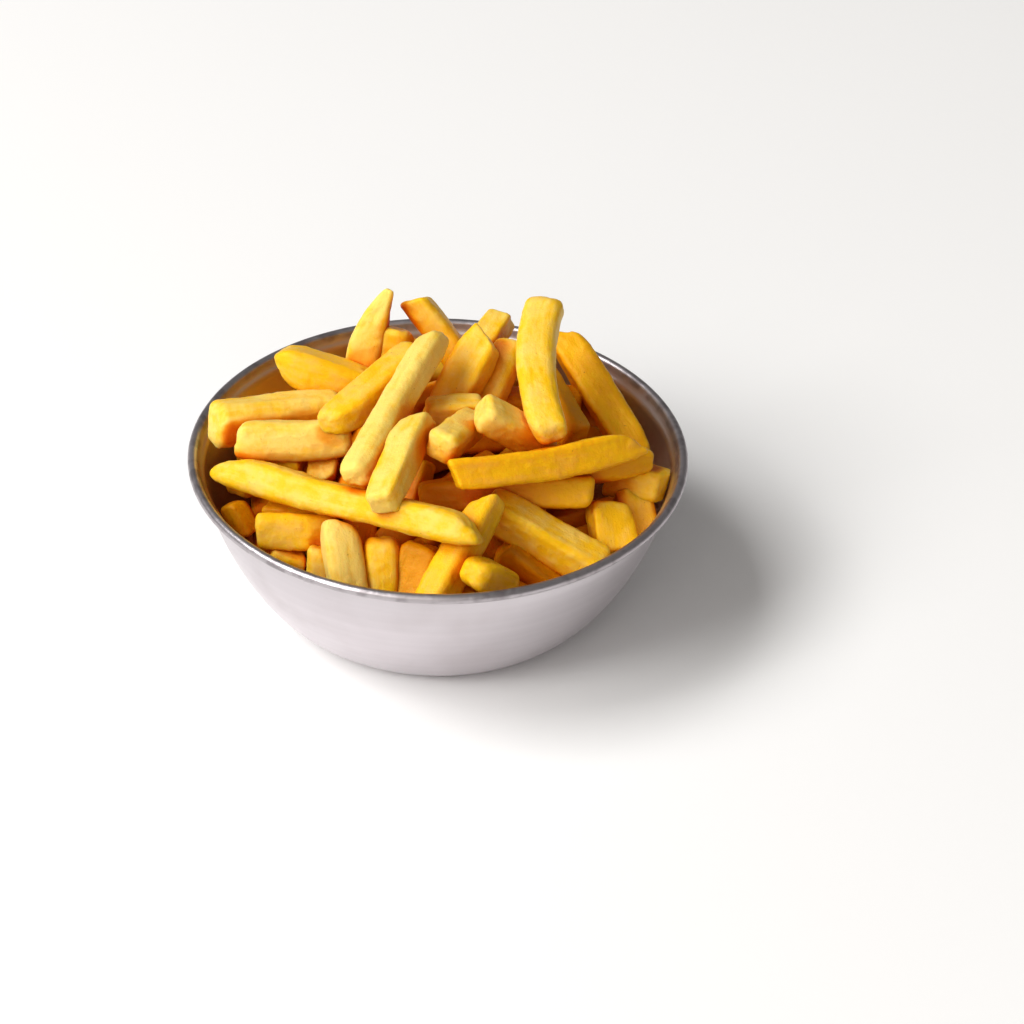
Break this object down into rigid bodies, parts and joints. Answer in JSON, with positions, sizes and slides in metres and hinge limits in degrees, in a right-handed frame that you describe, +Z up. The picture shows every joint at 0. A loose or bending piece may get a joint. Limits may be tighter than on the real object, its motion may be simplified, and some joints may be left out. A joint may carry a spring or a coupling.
{
  "type": "french fries portion",
  "caption": "Heaped portion of thick-cut french fries in a round spun metal bowl with a flat base, bulging wall and rolled rim.",
  "frame": {"origin": "centre of the flat base that the bowl stands on", "axes": "+Z up along the bowl's axis, -Y towards the side that the heap is seen from, +X to that viewer's right"},
  "size_m": [0.14, 0.14, 0.0842],
  "materials": {
    "bowl": "satin spun metal, lightly scuffed, polished rim",
    "fries": null
  },
  "bodies": {
    "root": {"bowl": "bowl", "fries": "fries"}
  },
  "joints": []
}
